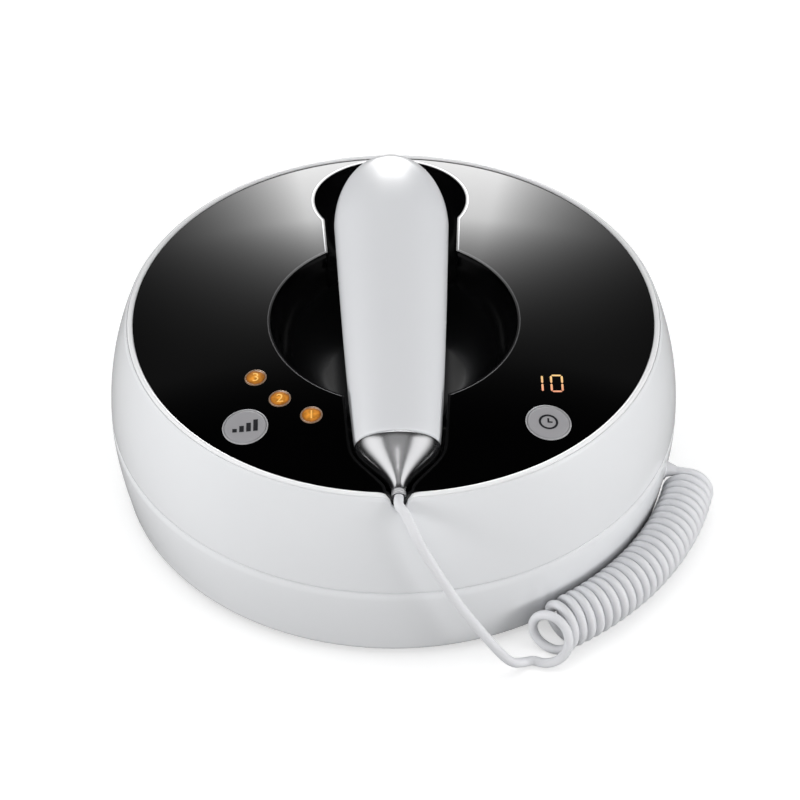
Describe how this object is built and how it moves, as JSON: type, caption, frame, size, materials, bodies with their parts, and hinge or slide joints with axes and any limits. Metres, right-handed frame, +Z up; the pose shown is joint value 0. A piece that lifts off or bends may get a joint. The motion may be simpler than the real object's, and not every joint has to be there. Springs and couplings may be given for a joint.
{
  "type": "facial toning device",
  "caption": "Round white base with a domed black top that cradles a slim white handset with a silver tail cone, two push buttons, level lamps and a curly cord round its side.",
  "frame": {"origin": "centre of the round base, on the surface that its feet stand on", "axes": "+Z up; the docked handset lies along Y with its cable end towards -Y, the side the buttons are on; +X to the user's right, the side the curly cord lies on"},
  "size_m": [0.2163, 0.2153, 0.0936],
  "materials": {
    "shell_white": "gloss",
    "trim_white": "gloss",
    "top_black": "high gloss",
    "tray_black": "gloss",
    "pad_black": "matte",
    "button_grey": "satin",
    "ring_grey": "satin",
    "lamp_amber": "lit",
    "board_green": "solder mask",
    "part_black": "matte",
    "led_amber": "clear",
    "display_dark": "gloss",
    "core_bronze": "varnished",
    "sink_metal": "brushed",
    "choke_copper": "enamelled wire",
    "gland_grey": "matte",
    "foot_rubber": "matte",
    "screw_steel": "zinc",
    "handset_white": "gloss",
    "cone_silver": "satin",
    "ferrule_chrome": "polished",
    "plate_metal": "satin",
    "stud_metal": "polished",
    "sensor_grey": "clear",
    "cord_white": "satin"
  },
  "bodies": {
    "base": {"base_lower_shell": "shell_white", "base_upper_shell": "shell_white", "rim_trim": "trim_white", "top_panel": "top_black", "cradle_tray": "tray_black", "front_rest_pad": "pad_black", "rear_rest_pad": "pad_black", "level_button_rim": "ring_grey", "time_button_rim": "ring_grey", "lamp_lens_1": "lamp_amber", "lamp_lens_2": "lamp_amber", "lamp_lens_3": "lamp_amber", "lamp_rim_1": "ring_grey", "lamp_rim_2": "ring_grey", "lamp_rim_3": "ring_grey", "level_board": "board_green", "time_board": "board_green", "level_switch": "part_black", "time_switch": "part_black", "lamp_led_1": "led_amber", "lamp_led_2": "led_amber", "lamp_led_3": "led_amber", "display_module": "display_dark", "main_board": "board_green", "transformer": "core_bronze", "heat_sink": "sink_metal", "rf_choke": "choke_copper", "buzzer": "part_black", "power_jack": "part_black", "cord_gland": "gland_grey", "foot_1": "foot_rubber", "foot_2": "foot_rubber", "foot_3": "foot_rubber", "foot_4": "foot_rubber", "shell_screw_1": "screw_steel", "shell_screw_2": "screw_steel", "shell_screw_3": "screw_steel", "shell_screw_4": "screw_steel", "cord_lead": "cord_white", "cord_coil": "cord_white"},
    "level_button": {"level_button": "button_grey"},
    "time_button": {"time_button": "button_grey"},
    "handset": {"handset_upper_shell": "handset_white", "handset_lower_shell": "handset_white", "tail_cone": "cone_silver", "tail_ferrule": "ferrule_chrome", "head_collar": "cone_silver", "treatment_plate": "plate_metal", "electrode_1": "stud_metal", "electrode_2": "stud_metal", "electrode_3": "stud_metal", "electrode_4": "stud_metal", "electrode_5": "stud_metal", "electrode_6": "stud_metal", "skin_sensor": "sensor_grey", "handset_board": "board_green"}
  },
  "joints": [
    {"name": "level_press", "type": "slide", "parent": "base", "child": "level_button", "axis": [0, 0, -1], "range_m": [0, 0.0006], "stiffness_N_per_m": 900},
    {"name": "time_press", "type": "slide", "parent": "base", "child": "time_button", "axis": [0, 0, -1], "range_m": [0, 0.0006], "stiffness_N_per_m": 900},
    {"name": "handset_lift", "type": "slide", "parent": "base", "child": "handset", "axis": [0, 0, 1], "range_m": [0, 0.06]}
  ]
}
